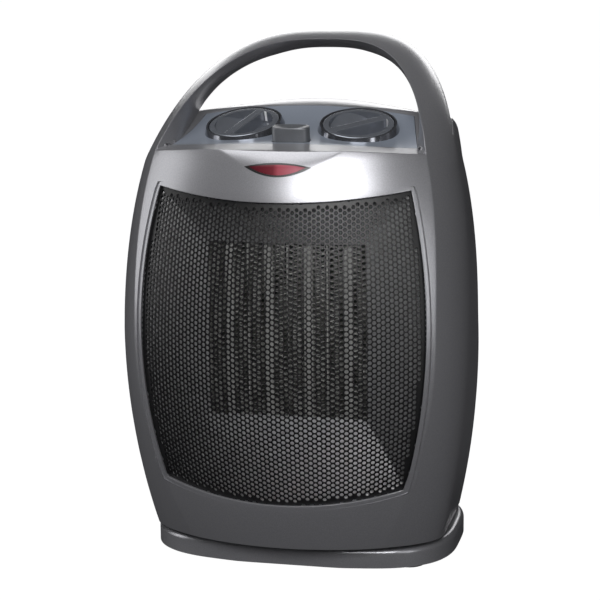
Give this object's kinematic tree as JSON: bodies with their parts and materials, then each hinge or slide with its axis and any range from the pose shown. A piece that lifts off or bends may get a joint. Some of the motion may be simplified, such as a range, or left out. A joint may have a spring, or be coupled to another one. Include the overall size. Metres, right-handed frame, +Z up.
{
  "type": "ceramic fan heater",
  "caption": "Portable ceramic fan heater with a carrying handle, a perforated outlet grille, two dials, a swing button and a foot that it swivels on.",
  "frame": {"origin": "on the floor, under the middle of the overall width and depth", "axes": "+Z up, the outlet grille faces -Y, +X is the viewer's right when facing the grille"},
  "size_m": [0.171, 0.147, 0.2551],
  "materials": {
    "housing_paint": "satin metallic grey lacquer on moulded plastic",
    "panel_plastic": "satin grey plastic",
    "ring_plastic": "glossy metallic grey plastic",
    "knob_plastic": "satin grey plastic",
    "black_mesh": "satin black paint",
    "duct_sheet": "brushed sheet",
    "core_aluminium": "plain",
    "cap_plastic": "matt heat-resistant plastic",
    "terminal_brass": "plain",
    "cutout_plastic": "phenolic plastic",
    "lens_red": "translucent red plastic",
    "lamp_glass": "clear glass",
    "black_plastic": "matt",
    "switch_plastic": "matt",
    "fan_plastic": "matt",
    "motor_steel": "laminated steel",
    "spider_steel": "zinc plated sheet",
    "screw_steel": "zinc plated",
    "pad_rubber": "matt",
    "glide_nylon": "smooth nylon",
    "cover_plastic": "matt"
  },
  "bodies": {
    "base": {"base_shell": "housing_paint", "base_cover": "cover_plastic", "rubber_feet": "pad_rubber", "base_screws": "screw_steel", "glide_pads": "glide_nylon", "swivel_retainer": "screw_steel", "swivel_screw": "screw_steel"},
    "housing": {"front_housing": "housing_paint", "rear_housing": "housing_paint", "grille": "black_mesh", "outlet_duct": "duct_sheet", "indicator_lens": "lens_red", "indicator_lamp": "lamp_glass", "control_panel": "panel_plastic", "dial_ring_left": "ring_plastic", "dial_ring_right": "ring_plastic", "thermostat": "switch_plastic", "rotary_switch": "switch_plastic", "oscillation_switch": "switch_plastic", "core_end_caps": "cap_plastic", "heater_bars": "core_aluminium", "core_side_plates": "core_aluminium", "fin_packs": "core_aluminium", "core_terminals": "terminal_brass", "thermal_cutout": "cutout_plastic", "fan_shroud": "black_plastic", "motor_spider": "spider_steel", "fan_motor": "motor_steel", "drive_motor": "spider_steel", "cord_gland": "black_plastic", "housing_screws": "screw_steel"},
    "fan": {"impeller": "fan_plastic", "fan_shaft": "motor_steel"},
    "crank": {"drive_crank": "glide_nylon"},
    "thermostat_dial": {"thermostat_knob": "knob_plastic"},
    "selector_dial": {"selector_knob": "knob_plastic"},
    "button": {"oscillation_button": "knob_plastic"}
  },
  "joints": [
    {"name": "swivel", "type": "hinge", "parent": "base", "child": "housing", "pos_m": [0, 0.008, 0], "axis": [0, 0, 1], "range_deg": [-30, 30]},
    {"name": "crank_turn", "type": "hinge", "parent": "housing", "child": "crank", "pos_m": [0, -0.02, 0], "axis": [0, 0, 1], "range_deg": [-120, 120]},
    {"name": "fan_spin", "type": "hinge", "parent": "housing", "child": "fan", "pos_m": [0, 0, 0.1174], "axis": [0, 1, 0], "continuous": true},
    {"name": "thermostat_turn", "type": "hinge", "parent": "housing", "child": "thermostat_dial", "pos_m": [-0.0283, -0.01, 0.21074], "axis": [-0.0538, -0.3084, 0.9497], "range_deg": [-105, 165]},
    {"name": "selector_turn", "type": "hinge", "parent": "housing", "child": "selector_dial", "pos_m": [0.0283, -0.01, 0.21074], "axis": [0.0538, -0.3084, 0.9497], "range_deg": [-85, 185]},
    {"name": "button_press", "type": "slide", "parent": "housing", "child": "button", "axis": [0, 0.1214, -0.9926], "range_m": [0, 0.003], "stiffness_N_per_m": 300}
  ],
  "couplings": [
    {"joint": "crank_turn", "follows": "swivel", "ratio": -4}
  ]
}
